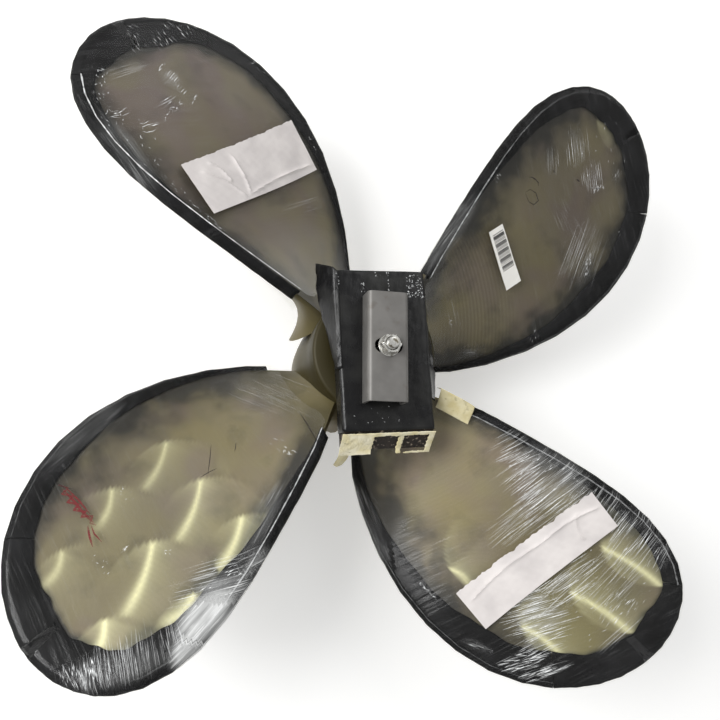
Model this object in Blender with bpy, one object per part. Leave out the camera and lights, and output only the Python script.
"""Four-bladed bronze ship propeller, packed for transport with its aft end up.

The propeller stands on the forward face of its hub. +Z is the shaft axis, towards the aft end, and the
origin is on that axis in the plane of the forward face. Rubber guards fold round the blades' edges, a film
sleeve is drawn over each blade, and a timber block is clamped over the aft end by a channel and a stud that
runs down the bore to a disc in the hub's forward recess. All lengths are in metres.
"""

import math

import bmesh
import bpy
from mathutils import Matrix, Vector

# Clearance that two touching pieces keep
GAP = 0.0003

# Propeller
BLADES = 4
FIRST_BLADE_ANGLE = math.radians(45.0)
TIP_RADIUS = 0.6875
PITCH = 1.375
RAKE = 0.1965
BLADE_LINE_Z = 0.165
HUB_LENGTH = 0.288
HUB_FORWARD_RADIUS = 0.104
HUB_AFT_RADIUS = 0.112
# Share of the hub's length from its forward face, and its radius there
HUB_WAIST = ((0.25, 0.112), (0.45, 0.114), (0.70, 0.110))
HUB_EDGE = 0.006
BORE_FORWARD_RADIUS = 0.056
BORE_AFT_RADIUS = 0.047
KEYWAY_WIDTH = 0.028
KEYWAY_DEPTH = 0.009
RECESS_CLEARANCE = 0.0015
ROUND_STEPS = 48

# Blade form, as shares of the tip radius where no unit is named
ROOT_SHARE = 0.14
WIDTH_TERMS = (0.0084, 0.500, 0.178, 0.110)
SKEW_TERMS = (0.218, 0.0695)
ROOT_FORM_END = 0.35
ROOT_WIDTH_LOSS = 0.25
ROOT_PITCH_LOSS = 0.20
EDGE_THICKNESS = 0.0045
ROOT_THICKNESS = 0.050
TIP_THICKNESS = 0.0045
ROOT_THICKNESS_SHARE = 0.2
LENS_POWER = 0.8
FILLET_REACH = 0.055
FILLET_BACK = 0.030
FILLET_FACE = 0.014
# Stations along a blade run from 1 at the root to 0 at the tip
ROOT_STATIONS = (1.0, 0.985, 0.965, 0.935)
SIDE_STATIONS = (0.90, 0.83, 0.75, 0.67, 0.59, 0.51, 0.43, 0.35, 0.28)
TIP_STATIONS = (0.275, 0.22, 0.16, 0.10, 0.05, 0.015)

# Rubber guards folded round the blades' edges. All outer skins are placed from GUARD_GAP. The leading and tip
# guards' inner skins lie nearer to the blade, where its facets leave room.
GUARD_GAP = 0.0016
LEADING_GUARD_GAP = 0.0014
TIP_GUARD_GAP = 0.0007
GUARD_BACK_GAP = 0.0024
GUARD_WALL = 0.0060
# Half of the widest blade section
FULL_HALF_WIDTH = 0.180
# Width that each guard covers on both faces, and how far it stands out past the edge
GUARD_COVER = 0.040
FOLD_PLACE = 0.4
GUARD_REACH = 0.012

# Film sleeves and what is stuck on them
FILM_WALL = 0.0006
FILM_GAP = 0.0026
PAPER_WALL = 0.0006
PAPER_COLUMNS = 10
PAPER_ROWS = 2
# Blade number, middle as (radius, angle from the blade's root line), turn of the long side, length and width
PAPERS = {
    "shipping_mark_1": (1, (0.398, math.radians(5.2)), math.radians(-77.6), 0.297, 0.100),
    "shipping_mark_2": (3, (0.460, math.radians(9.7)), math.radians(103.0), 0.297, 0.076),
    "barcode_sticker": (0, (0.331, math.radians(9.3)), math.radians(-79.4), 0.132, 0.034),
}

# Timber block, its wrapping and the clamp on it
STUD_PLACE = (0.001, -0.006, 0.0)
BLOCK_ANGLE = math.radians(19.0)
CHANNEL_ANGLE = math.radians(15.5)
BLOCK_WIDTH = 0.162
# The block's middle lies off the stud by this, towards its right side
BLOCK_MIDDLE = 0.0055
BLOCK_LEFT = BLOCK_MIDDLE - BLOCK_WIDTH / 2
BLOCK_RIGHT = BLOCK_MIDDLE + BLOCK_WIDTH / 2
BLOCK_HEIGHT = 0.046
BLOCK_UPPER_END = 0.141
BLOCK_LOWER_END = -0.136
BLOCK_SLOPE = 0.032
WRAP_WALL = 0.0025
TAPE_WALL = 0.0035
WINDOW_WIDTH = 0.043
WINDOW_HEIGHT = 0.034
WINDOW_PLACES = (0.002, 0.0545)
CHANNEL_WIDTH = 0.070
CHANNEL_LENGTH = 0.185
CHANNEL_HEIGHT = 0.040
CHANNEL_WALL = 0.005
SLOT_LENGTH = 0.048
SLOT_WIDTH = 0.024
SLOT_STEPS = 8
STUD_RADIUS = 0.010
STUD_HOLE_RADIUS = 0.012
STUD_STEPS = 24
WASHER_RADIUS = 0.0185
WASHER_WALL = 0.003
WASHER_STEPS = 32
NUT_ACROSS_FLATS = 0.030
NUT_SIDES = 6
NUT_HEIGHT = 0.016
STUD_PROUD = 0.010
ANCHOR_RADIUS = 0.070
ANCHOR_WALL = 0.014


def clear_scene():
    """Remove every object that the file holds."""
    for item in list(bpy.data.objects):
        bpy.data.objects.remove(item, do_unlink=True)


def make_material(name, colour, roughness, metallic):
    """Make a plain surface with one colour."""
    material = bpy.data.materials.new(name)
    material.use_nodes = True
    shader = material.node_tree.nodes["Principled BSDF"]
    shader.inputs["Base Color"].default_value = (*colour, 1.0)
    shader.inputs["Roughness"].default_value = roughness
    shader.inputs["Metallic"].default_value = metallic
    return material


def add_empty(name, location, angle, parent=None):
    """Add a guide that other pieces are placed from."""
    empty = bpy.data.objects.new(name, None)
    empty.location = location
    empty.rotation_euler = (0.0, 0.0, angle)
    empty.parent = parent
    bpy.context.scene.collection.objects.link(empty)
    return empty


def add_object(name, mesh, material, parent=None, location=(0.0, 0.0, 0.0)):
    """Put a mesh into the scene as a named piece."""
    piece = bpy.data.objects.new(name, mesh)
    piece.location = location
    piece.parent = parent
    if material is not None and not mesh.materials:
        mesh.materials.append(material)
    bpy.context.scene.collection.objects.link(piece)
    return piece


def finish_mesh(bm, name, smooth_angle=None):
    """Turn all faces outwards and store the mesh, smooth below the angle given."""
    bmesh.ops.recalc_face_normals(bm, faces=bm.faces)
    mesh = bpy.data.meshes.new(name)
    bm.to_mesh(mesh)
    bm.free()
    if smooth_angle is not None:
        mesh.shade_smooth()
        mesh.set_sharp_from_angle(angle=smooth_angle)
    return mesh


def loft_mesh(name, rings, smooth_angle=None):
    """Join closed rings of points one after another, with a flat cap on each end."""
    bm = bmesh.new()
    rows = [[bm.verts.new(point) for point in ring] for ring in rings]
    for row, following in zip(rows, rows[1:]):
        for index in range(len(row)):
            after = (index + 1) % len(row)
            bm.faces.new((row[index], row[after], following[after], following[index]))
    bm.faces.new(rows[0])
    bm.faces.new(rows[-1])
    return finish_mesh(bm, name, smooth_angle)


def turned_mesh(name, profile, steps=ROUND_STEPS):
    """Turn a closed profile of (radius, height) points about the Z axis."""
    bm = bmesh.new()
    points = [bm.verts.new((radius, 0.0, height)) for radius, height in profile]
    edges = [bm.edges.new((point, points[(i + 1) % len(points)])) for i, point in enumerate(points)]
    bmesh.ops.spin(bm, geom=points + edges, cent=(0.0, 0.0, 0.0), axis=(0.0, 0.0, 1.0),
                   angle=math.tau, steps=steps, use_merge=True)
    bmesh.ops.remove_doubles(bm, verts=bm.verts, dist=1e-6)
    return finish_mesh(bm, name, math.radians(30.0))


def cylinder_mesh(name, radius, bottom, top, steps=ROUND_STEPS):
    """Make an upright cylinder between two heights."""
    bm = bmesh.new()
    bmesh.ops.create_cone(bm, cap_ends=True, segments=steps, radius1=radius, radius2=radius,
                          depth=top - bottom, matrix=Matrix.Translation((0.0, 0.0, (top + bottom) / 2)))
    return finish_mesh(bm, name, math.radians(30.0))


def box_mesh(name, low, high):
    """Make a box between two corners."""
    bm = bmesh.new()
    size = Vector(high) - Vector(low)
    middle = (Vector(high) + Vector(low)) / 2
    bmesh.ops.create_cube(bm, size=1.0, matrix=Matrix.Translation(middle) @ Matrix.Diagonal((*size, 1.0)))
    return finish_mesh(bm, name)


def prism_mesh(name, outline, low, high):
    """Extrude an outline of (y, z) points along X between two places."""
    bm = bmesh.new()
    face = bm.faces.new([bm.verts.new((low, y, z)) for y, z in outline])
    moved = bmesh.ops.extrude_face_region(bm, geom=[face])["geom"]
    corners = [item for item in moved if isinstance(item, bmesh.types.BMVert)]
    bmesh.ops.translate(bm, verts=corners, vec=(high - low, 0.0, 0.0))
    return finish_mesh(bm, name)


def combine(piece, mesh, operation, parent=None):
    """Cut a mesh from a piece, or join it on, with a Boolean modifier."""
    guide = add_object(f"{piece.name}_{operation.lower()}_{len(piece.modifiers)}", mesh, None, parent)
    guide.hide_render = True
    guide.display_type = "WIRE"
    modifier = piece.modifiers.new(operation.title(), "BOOLEAN")
    modifier.operation = operation
    modifier.solver = "EXACT"
    modifier.object = guide
    return guide


def station_share(station):
    """Radius share at a station, which runs from 1 at the root to 0 at the tip."""
    return 1.0 - (1.0 - ROOT_SHARE) * station ** 2


def root_form(share, loss):
    """Factor that falls below 1 towards the root."""
    near = max(0.0, (ROOT_FORM_END - share) / (ROOT_FORM_END - ROOT_SHARE))
    return 1.0 - loss * near ** 2


def half_width(share):
    """Half of the blade's width at a radius share, measured round the axis."""
    terms = sum(term * share ** power for power, term in enumerate(WIDTH_TERMS))
    return TIP_RADIUS * math.sqrt(max(0.0, 1.0 - share)) * terms * root_form(share, ROOT_WIDTH_LOSS)


def middle_angle(share):
    """Angle of the middle of the blade from its root line."""
    past = share - ROOT_THICKNESS_SHARE
    return SKEW_TERMS[0] * past + SKEW_TERMS[1] * past ** 2


def face_height(radius, angle):
    """Height of the pressure face at a place on the blade."""
    lead = PITCH / math.tau * root_form(radius / TIP_RADIUS, ROOT_PITCH_LOSS)
    return BLADE_LINE_Z + radius * RAKE + lead * angle


def face_point(radius, angle, lift):
    """Point that stands off the pressure face by the lift, square to it."""
    def on_face(r, a):
        return Vector((r * math.cos(a), r * math.sin(a), face_height(r, a)))

    step = 1e-4
    outward = on_face(radius + step, angle) - on_face(radius - step, angle)
    around = on_face(radius, angle + step) - on_face(radius, angle - step)
    return on_face(radius, angle) + outward.cross(around).normalized() * lift


def blade_thickness(share, across):
    """Thickness of the blade, with across running from -1 at one edge to 1 at the other."""
    run = (share - ROOT_THICKNESS_SHARE) / (1.0 - ROOT_THICKNESS_SHARE)
    full = ROOT_THICKNESS + (TIP_THICKNESS - ROOT_THICKNESS) * run
    lens = max(0.0, 1.0 - min(1.0, abs(across)) ** 2) ** LENS_POWER
    return EDGE_THICKNESS + max(0.0, full - EDGE_THICKNESS) * lens


def fillet_growth(radius):
    """Share of the root fillet that is left at a radius."""
    return max(0.0, 1.0 - (radius - HUB_AFT_RADIUS) / FILLET_REACH) ** 2


def edge_place(station, side, reach):
    """Radius and angle of a point that lies past the blade's edge by the reach; side is -1 or 1."""
    share = station_share(station)
    radius = share * (TIP_RADIUS + reach)
    width = half_width(share) * (1.0 + reach / FULL_HALF_WIDTH)
    return radius, middle_angle(share) + side * width / radius


def thickness_at(radius, angle):
    """Blade thickness under a place on or near the blade."""
    share = min(0.9999, radius / TIP_RADIUS)
    width = max(1e-4, half_width(share))
    return blade_thickness(share, (angle - middle_angle(share)) * radius / width)


def blade_mesh():
    """One blade, from inside the hub to its tip."""
    rings = []
    covered = 1.0 - GUARD_COVER / FULL_HALF_WIDTH
    fold = 1.0 - FOLD_PLACE * GUARD_COVER / FULL_HALF_WIDTH
    half_columns = (0.0, covered / 2, covered, fold, 1.0)
    columns = [-place for place in half_columns[:0:-1]] + list(half_columns)
    for station in ROOT_STATIONS + SIDE_STATIONS + TIP_STATIONS[1:]:
        share = station_share(station)
        radius = share * TIP_RADIUS
        growth = fillet_growth(radius)
        upper = []
        lower = []
        for across in columns:
            angle = middle_angle(share) + across * half_width(share) / radius
            crown = 1.0 - across ** 2
            upper.append(face_point(radius, angle, FILLET_FACE * growth * crown))
            back = blade_thickness(share, across) + FILLET_BACK * growth * crown
            lower.append(face_point(radius, angle, -back))
        rings.append(upper + lower[::-1])
    return loft_mesh("blade", rings, math.radians(35.0))


def hub_profile():
    """Closed profile of the hub with its tapered bore and forward recess."""
    recess = ANCHOR_WALL + GAP
    recess_radius = ANCHOR_RADIUS + RECESS_CLEARANCE
    return [
        (recess_radius, 0.0),
        (HUB_FORWARD_RADIUS - HUB_EDGE, 0.0),
        (HUB_FORWARD_RADIUS, HUB_EDGE),
        *((radius, share * HUB_LENGTH) for share, radius in HUB_WAIST),
        (HUB_AFT_RADIUS, HUB_LENGTH - HUB_EDGE),
        (HUB_AFT_RADIUS - HUB_EDGE, HUB_LENGTH),
        (BORE_AFT_RADIUS, HUB_LENGTH),
        (BORE_FORWARD_RADIUS, recess),
        (recess_radius, recess),
    ]


def build_casting(bronze):
    """Hub and blades as the one casting that they are."""
    casting = add_object("propeller_casting", turned_mesh("propeller_casting", hub_profile()), bronze)
    blade = blade_mesh()
    for number in range(BLADES):
        frame = add_empty(f"casting_frame_{number + 1}", (0.0, 0.0, 0.0), blade_angle(number))
        combine(casting, blade, "UNION", frame)
    reach = BORE_FORWARD_RADIUS + KEYWAY_DEPTH
    key = box_mesh("keyway", (0.0, -KEYWAY_WIDTH / 2, ANCHOR_WALL / 2),
                   (reach, KEYWAY_WIDTH / 2, HUB_LENGTH + HUB_EDGE))
    combine(casting, key, "DIFFERENCE")
    return casting


def blade_angle(number):
    """Angle of a blade's root line about the axis."""
    return FIRST_BLADE_ANGLE + number * math.tau / BLADES


def guard_ring(station, side, gap):
    """Closed section of a guard folded over the edge at a station, with its inner skin off by the gap."""
    inside = GUARD_BACK_GAP
    outside = GUARD_BACK_GAP + GUARD_WALL
    top = GUARD_GAP + GUARD_WALL

    def place(offset, lift):
        radius, angle = edge_place(station, side, offset)
        return face_point(radius, angle, lift)

    def back(offset, more):
        radius, angle = edge_place(station, side, offset)
        return face_point(radius, angle, -thickness_at(radius, angle) - more)

    return [
        place(-GUARD_COVER, gap),
        place(gap, gap),
        place(gap, -EDGE_THICKNESS - inside),
        back(-GUARD_COVER * FOLD_PLACE, inside),
        back(-GUARD_COVER, inside),
        back(-GUARD_COVER, outside),
        back(-GUARD_COVER * FOLD_PLACE, outside),
        place(GUARD_GAP, -EDGE_THICKNESS - outside),
        place(GUARD_REACH, -EDGE_THICKNESS - GUARD_WALL),
        place(GUARD_REACH, GUARD_GAP),
        place(GUARD_GAP, top),
        place(-GUARD_COVER, top),
    ]


def build_guards(rubber):
    """A leading, a trailing and a tip guard on each blade."""
    tip_places = [(station, -1.0) for station in TIP_STATIONS]
    tip_places += [(station, 1.0) for station in reversed(TIP_STATIONS)]
    side_places = ROOT_STATIONS[-1:] + SIDE_STATIONS
    rings = {
        "leading": [guard_ring(station, -1.0, LEADING_GUARD_GAP) for station in side_places],
        "trailing": [guard_ring(station, 1.0, GUARD_GAP) for station in side_places],
        "tip": [guard_ring(station, side, TIP_GUARD_GAP) for station, side in tip_places],
    }
    meshes = {label: loft_mesh(f"{label}_guard", rows, math.radians(40.0)) for label, rows in rings.items()}
    for number in range(BLADES):
        frame = add_empty(f"guard_frame_{number + 1}", (0.0, 0.0, 0.0), blade_angle(number))
        for label, mesh in meshes.items():
            add_object(f"{label}_guard_{number + 1}", mesh, rubber, frame)


def film_lift():
    """Height of the film's under side over the pressure face."""
    return GUARD_GAP + GUARD_WALL + FILM_GAP


def film_ring(station, grow):
    """Closed section of a film sleeve at a station; grow is its distance outside the inner skin."""
    depth = GUARD_BACK_GAP + GUARD_WALL + FILM_GAP + grow
    wall = GUARD_REACH + FILM_GAP + grow
    upper = []
    lower = []
    for side in (-1.0, 1.0):
        top = [face_point(*edge_place(station, side, wall), GUARD_GAP + FILM_GAP + grow),
               face_point(*edge_place(station, side, FILM_GAP + grow), film_lift() + grow)]
        under = [face_point(*edge_place(station, side, wall), -EDGE_THICKNESS - GUARD_WALL - FILM_GAP - grow),
                 face_point(*edge_place(station, side, GUARD_GAP), -EDGE_THICKNESS - depth)]
        edge = edge_place(station, side, -GUARD_COVER)
        middle = (edge[0], middle_angle(station_share(station)))
        places = [edge_place(station, side, -GUARD_COVER * FOLD_PLACE), edge]
        places.append(tuple(middle[i] + (edge[i] - middle[i]) * 0.5 for i in range(2)))
        if side < 0:
            places.append(middle)
        for place in places:
            top.append(face_point(*place, film_lift() + grow))
            under.append(face_point(*place, -thickness_at(*place) - depth))
        upper += top if side < 0 else top[::-1]
        lower += under if side < 0 else under[::-1]
    return upper + lower[::-1]


def close_tip(bm, row):
    """Join the leading half of the last section to the trailing half, face, back and outer wall."""
    half = len(row) // 2
    face = row[:half]
    back = row[half:][::-1]
    for side in (face, back):
        for index in range(half // 2):
            corners = (side[index], side[index + 1], side[half - 2 - index], side[half - 1 - index])
            bm.faces.new(dict.fromkeys(corners))
    bm.faces.new((face[0], face[-1], back[-1], back[0]))


def film_mesh():
    """Film sleeve over one blade, open towards the hub and closed round the tip."""
    stations = ROOT_STATIONS[-1:] + SIDE_STATIONS + TIP_STATIONS[1:]
    bm = bmesh.new()
    skins = []
    for grow in (0.0, FILM_WALL):
        rows = [[bm.verts.new(point) for point in film_ring(station, grow)] for station in stations]
        for row, following in zip(rows, rows[1:]):
            for index in range(len(row)):
                after = (index + 1) % len(row)
                bm.faces.new((row[index], row[after], following[after], following[index]))
        close_tip(bm, rows[-1])
        skins.append(rows[0])
    inner, outer = skins
    for index in range(len(inner)):
        after = (index + 1) % len(inner)
        bm.faces.new((inner[index], inner[after], outer[after], outer[index]))
    return finish_mesh(bm, "film_sleeve", math.radians(50.0))


def build_film(film):
    """A sleeve of stretch film on each blade."""
    sleeve = film_mesh()
    for number in range(BLADES):
        frame = add_empty(f"film_frame_{number + 1}", (0.0, 0.0, 0.0), blade_angle(number))
        add_object(f"film_sleeve_{number + 1}", sleeve, film, frame)


def paper_mesh(name, centre, turn, size):
    """Thin sheet that follows the film over a blade; centre is (radius, angle) from the root line.

    The turn is the heading of the long side as it is seen along the axis.
    """
    lift = film_lift() + FILM_WALL + GAP * 2
    middle = face_point(*centre, 0.0)
    normal = (face_point(*centre, 1.0) - middle).normalized()
    along = Vector((math.cos(turn), math.sin(turn), 0.0))
    along.z = -along.dot(normal) / normal.z
    along.normalize()
    across = normal.cross(along)

    def on_sheet(column, row, grow):
        flat = middle + along * size[0] * (column / PAPER_COLUMNS - 0.5) + across * size[1] * (row / PAPER_ROWS - 0.5)
        return face_point(math.hypot(flat.x, flat.y), math.atan2(flat.y, flat.x), lift + grow)

    bm = bmesh.new()
    rims = []
    for grow in (0.0, PAPER_WALL):
        skin = [[bm.verts.new(on_sheet(column, row, grow)) for row in range(PAPER_ROWS + 1)]
                for column in range(PAPER_COLUMNS + 1)]
        # Both skins are split along the same diagonals, so that the sheet is equally thick all over
        for near, far in zip(skin, skin[1:]):
            for row in range(PAPER_ROWS):
                bm.faces.new((near[row], far[row], far[row + 1]))
                bm.faces.new((near[row], far[row + 1], near[row + 1]))
        rims.append(skin[0] + [column[-1] for column in skin[1:-1]] + skin[-1][::-1]
                    + [column[0] for column in skin[-2:0:-1]])
    under, over = rims
    for index in range(len(under)):
        after = (index + 1) % len(under)
        bm.faces.new((under[index], under[after], over[after], over[index]))
    return finish_mesh(bm, name)


def build_papers(paper):
    """Two shipping marks and a barcode sticker, stuck on the film."""
    for name, (number, centre, turn, length, width) in PAPERS.items():
        frame = add_empty(f"{name}_frame", (0.0, 0.0, 0.0), blade_angle(number))
        add_object(name, paper_mesh(name, centre, turn, (length, width)), paper, frame)


def block_outline(inset, low, high):
    """Side view of the block between two heights, with its lower end sloping down and out."""
    return [
        (BLOCK_UPPER_END - inset, low),
        (BLOCK_UPPER_END - inset, high),
        (BLOCK_LOWER_END, high),
        (BLOCK_LOWER_END - BLOCK_SLOPE * (high - low) / BLOCK_HEIGHT, low),
    ]


def stud_hole(piece, frame, bottom, top):
    """Drill the stud's hole through a piece."""
    combine(piece, cylinder_mesh("stud_hole", STUD_HOLE_RADIUS, bottom, top, STUD_STEPS), "DIFFERENCE", frame)


def build_block(wood, sheet, tape, frame):
    """Timber block on the hub's aft face, its black wrapping and its taped end."""
    bottom = HUB_LENGTH + GAP
    top = bottom + BLOCK_HEIGHT
    skin = WRAP_WALL + GAP
    wrap_end = BLOCK_LOWER_END
    wrap = add_object("block_wrap", box_mesh("block_wrap", (BLOCK_LEFT, wrap_end, bottom),
                                             (BLOCK_RIGHT, BLOCK_UPPER_END, top)), sheet, frame)
    hollow = box_mesh("wrap_hollow", (BLOCK_LEFT + WRAP_WALL, wrap_end - skin, bottom + WRAP_WALL),
                      (BLOCK_RIGHT - WRAP_WALL, BLOCK_UPPER_END - WRAP_WALL, top - WRAP_WALL))
    combine(wrap, hollow, "DIFFERENCE", frame)
    stud_hole(wrap, frame, bottom - WRAP_WALL, top + WRAP_WALL)
    core_mesh = prism_mesh("timber_block", block_outline(skin, bottom + skin, top - skin),
                           BLOCK_LEFT + skin, BLOCK_RIGHT - skin)
    core = add_object("timber_block", core_mesh, wood, frame)
    stud_hole(core, frame, bottom - WRAP_WALL, top + WRAP_WALL)
    slope = BLOCK_SLOPE / BLOCK_HEIGHT
    lean = math.hypot(1.0, slope)
    inner = GAP * lean
    outer = (GAP + TAPE_WALL) * lean
    reach = slope * (BLOCK_HEIGHT - 2 * skin)
    outline = [
        (wrap_end - reach - inner, bottom + skin),
        (wrap_end - inner, top - skin),
        (wrap_end - inner, top),
        (wrap_end - outer, top),
        (wrap_end - reach - outer, bottom + skin),
        (wrap_end - reach - outer, bottom),
        (wrap_end - reach - inner, bottom),
    ]
    taped = add_object("taped_end", prism_mesh("taped_end", outline, BLOCK_LEFT, BLOCK_RIGHT), tape, frame)
    window_low = (bottom + top - WINDOW_HEIGHT) / 2
    for number, place in enumerate(WINDOW_PLACES):
        low = (place - WINDOW_WIDTH / 2, wrap_end - BLOCK_SLOPE * 3, window_low)
        high = (place + WINDOW_WIDTH / 2, wrap_end + BLOCK_SLOPE, window_low + WINDOW_HEIGHT)
        window = box_mesh(f"window_{number}", low, high)
        combine(taped, window, "DIFFERENCE", frame)
    return top


def channel_mesh(bottom):
    """Channel with its web up and its two flanges down, open at both ends."""
    half = CHANNEL_WIDTH / 2
    top = bottom + CHANNEL_HEIGHT
    inner = half - CHANNEL_WALL
    outline = [(-half, bottom), (-half, top), (half, top), (half, bottom), (inner, bottom),
               (inner, top - CHANNEL_WALL), (-inner, top - CHANNEL_WALL), (-inner, bottom)]
    bm = bmesh.new()
    start = -CHANNEL_LENGTH / 2
    face = bm.faces.new([bm.verts.new((x, start, z)) for x, z in outline])
    moved = bmesh.ops.extrude_face_region(bm, geom=[face])["geom"]
    corners = [item for item in moved if isinstance(item, bmesh.types.BMVert)]
    bmesh.ops.translate(bm, verts=corners, vec=(0.0, CHANNEL_LENGTH, 0.0))
    return finish_mesh(bm, "clamp_channel")


def slot_mesh(bottom, top):
    """Upright bar with round ends that cuts the slot across the web."""
    reach = (SLOT_LENGTH - SLOT_WIDTH) / 2
    outline = []
    for middle, first in ((reach, -math.pi / 2), (-reach, math.pi / 2)):
        for step in range(SLOT_STEPS + 1):
            angle = first + math.pi * step / SLOT_STEPS
            outline.append((middle + SLOT_WIDTH / 2 * math.cos(angle), SLOT_WIDTH / 2 * math.sin(angle)))
    bm = bmesh.new()
    face = bm.faces.new([bm.verts.new((x, y, bottom)) for x, y in outline])
    moved = bmesh.ops.extrude_face_region(bm, geom=[face])["geom"]
    corners = [item for item in moved if isinstance(item, bmesh.types.BMVert)]
    bmesh.ops.translate(bm, verts=corners, vec=(0.0, 0.0, top - bottom))
    return finish_mesh(bm, "slot")


def drilled_disc(name, outer, hole, bottom, top, steps, material, frame):
    """Upright disc, or hexagon when it has six sides, with a round hole through it."""
    disc = add_object(name, cylinder_mesh(name, outer, bottom, top, steps), material, frame)
    cutter = cylinder_mesh(f"{name}_hole", hole, bottom - WASHER_WALL, top + WASHER_WALL, STUD_STEPS)
    combine(disc, cutter, "DIFFERENCE", frame)


def build_clamp(steel, zinc, frame, block_top):
    """Channel, washer, nut and stud on the block, and the disc under the hub that the stud pulls on."""
    channel_bottom = block_top + GAP
    web_top = channel_bottom + CHANNEL_HEIGHT
    channel = add_object("clamp_channel", channel_mesh(channel_bottom), steel, frame)
    combine(channel, slot_mesh(web_top - CHANNEL_WALL * 2, web_top + CHANNEL_WALL), "DIFFERENCE", frame)
    washer_top = web_top + GAP + WASHER_WALL
    hole = STUD_RADIUS + GAP * 2
    drilled_disc("stud_washer", WASHER_RADIUS, hole, web_top + GAP, washer_top, WASHER_STEPS, zinc, frame)
    nut_bottom = washer_top + GAP
    corner = NUT_ACROSS_FLATS / math.sqrt(3.0)
    drilled_disc("stud_nut", corner, STUD_RADIUS + GAP, nut_bottom, nut_bottom + NUT_HEIGHT, NUT_SIDES, zinc,
                 frame)
    stud_top = nut_bottom + NUT_HEIGHT + STUD_PROUD
    stud = cylinder_mesh("clamp_stud", STUD_RADIUS, ANCHOR_WALL + GAP, stud_top, STUD_STEPS)
    add_object("clamp_stud", stud, zinc, frame)
    add_object("anchor_disc", cylinder_mesh("anchor_disc", ANCHOR_RADIUS, 0.0, ANCHOR_WALL), steel)


def main():
    """Build every piece of the propeller as packed."""
    clear_scene()
    bronze = make_material("cast_bronze", (0.42, 0.33, 0.16), 0.35, 1.0)
    rubber = make_material("black_rubber", (0.02, 0.02, 0.02), 0.6, 0.0)
    film = make_material("clear_film", (0.75, 0.76, 0.74), 0.15, 0.0)
    paper = make_material("white_paper", (0.72, 0.68, 0.68), 0.8, 0.0)
    sheet = make_material("black_sheet", (0.015, 0.015, 0.015), 0.35, 0.0)
    wood = make_material("rough_timber", (0.12, 0.06, 0.03), 0.8, 0.0)
    tape = make_material("cream_tape", (0.62, 0.58, 0.38), 0.5, 0.0)
    steel = make_material("grey_steel", (0.22, 0.21, 0.20), 0.45, 1.0)
    zinc = make_material("zinc_plate", (0.45, 0.45, 0.42), 0.35, 1.0)
    build_casting(bronze)
    build_guards(rubber)
    build_film(film)
    build_papers(paper)
    block_frame = add_empty("block_frame", STUD_PLACE, BLOCK_ANGLE)
    block_top = build_block(wood, sheet, tape, block_frame)
    clamp_frame = add_empty("clamp_frame", STUD_PLACE, CHANNEL_ANGLE)
    build_clamp(steel, zinc, clamp_frame, block_top)


main()
